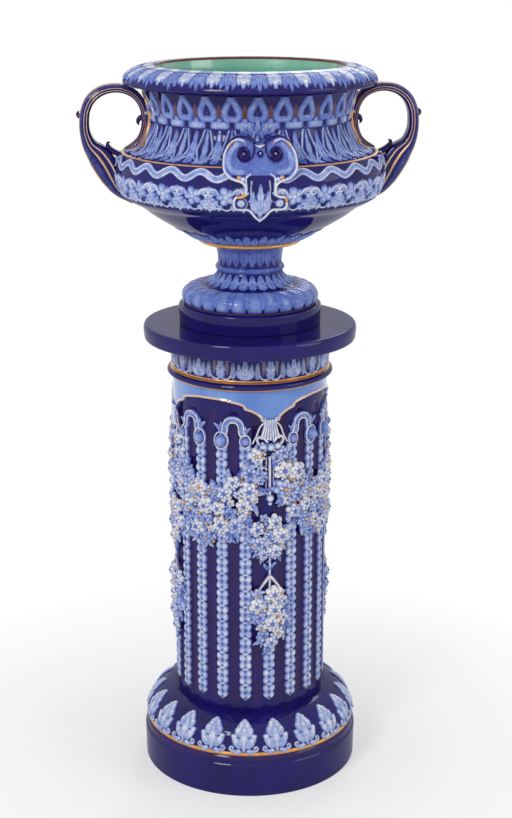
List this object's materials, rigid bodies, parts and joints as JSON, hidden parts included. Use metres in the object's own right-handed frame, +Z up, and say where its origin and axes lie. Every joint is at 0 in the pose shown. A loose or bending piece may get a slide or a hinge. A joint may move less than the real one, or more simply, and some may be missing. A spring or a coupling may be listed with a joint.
{
  "type": "jardiniere on stand",
  "caption": "Glazed earthenware jardiniere with looped handles and a footed socle, standing loose on a reeded column stand with festoons.",
  "frame": {"origin": "centre of the stand's foot, on the floor", "axes": "+Z up the common axis, +X through the right handle, -Y towards the front cartouche"},
  "size_m": [0.4866, 0.392, 1.0696],
  "materials": {
    "cobalt_glaze": "glossy cobalt glaze over earthenware",
    "pale_blue_glaze": "glossy pale blue glaze over earthenware",
    "seal_rubber": "matt black rubber",
    "bolt_brass": "plain turned brass",
    "iron": "plain plate"
  },
  "bodies": {
    "stand": {"stand_base": "cobalt_glaze", "column": "cobalt_glaze", "reeds": "pale_blue_glaze", "reed_loops": "pale_blue_glaze", "apron": "pale_blue_glaze", "capital": "cobalt_glaze", "top_slab": "cobalt_glaze", "festoons": "pale_blue_glaze", "drops": "pale_blue_glaze", "bows": "pale_blue_glaze"},
    "jardiniere": {"bowl": "cobalt_glaze", "handle_left": "pale_blue_glaze", "handle_right": "pale_blue_glaze", "cartouche_front": "pale_blue_glaze", "cartouche_back": "pale_blue_glaze", "socle": "cobalt_glaze", "seal_washer": "seal_rubber", "tie_bolt": "bolt_brass", "iron_plate": "iron", "tie_nut": "bolt_brass"}
  },
  "joints": [
    {"name": "jardiniere_lift", "type": "slide", "parent": "stand", "child": "jardiniere", "axis": [0, 0, 1], "range_m": [0, 0.15]}
  ]
}
